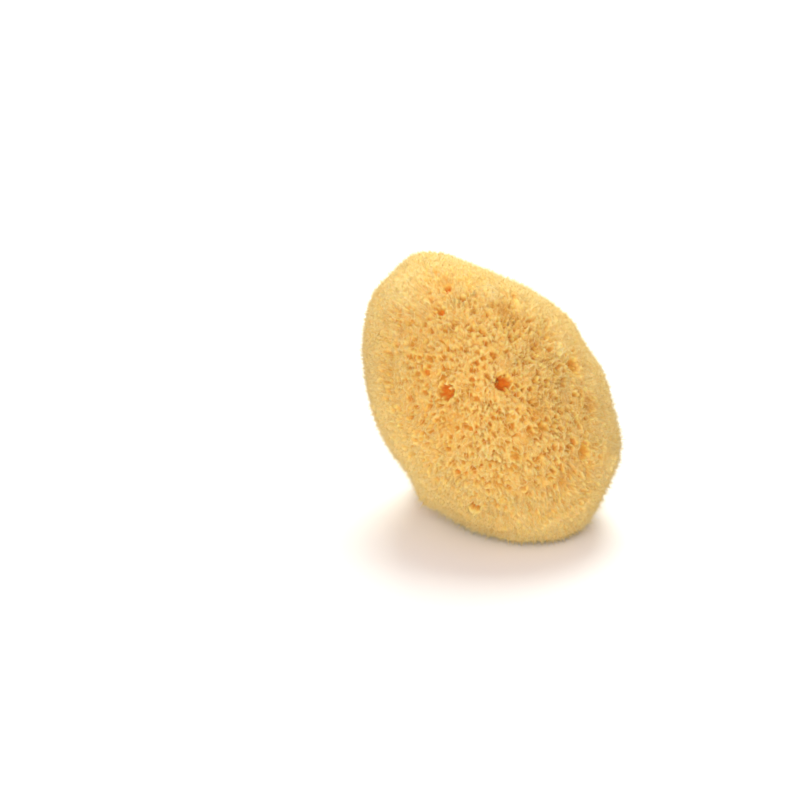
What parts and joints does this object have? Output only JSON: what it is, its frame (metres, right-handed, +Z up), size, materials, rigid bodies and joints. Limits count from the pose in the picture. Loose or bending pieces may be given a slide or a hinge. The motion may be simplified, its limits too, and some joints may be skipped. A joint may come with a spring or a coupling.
{
  "type": "sea sponge",
  "caption": "Small egg-shaped natural sea sponge with a fine soft porous skin and a few larger mouths, trimmed flat underneath so that it rests on the cut.",
  "frame": {"origin": "on the plane that the sponge rests on, in the middle of its footprint box", "axes": "+Z up from the flat cut that it rests on, -Y out of its broad face, and +X towards the lower end of its long axis"},
  "size_m": [0.0652, 0.0526, 0.065],
  "materials": {
    "spongin": "matte"
  },
  "bodies": {
    "root": {"sponge": "spongin"}
  },
  "joints": []
}
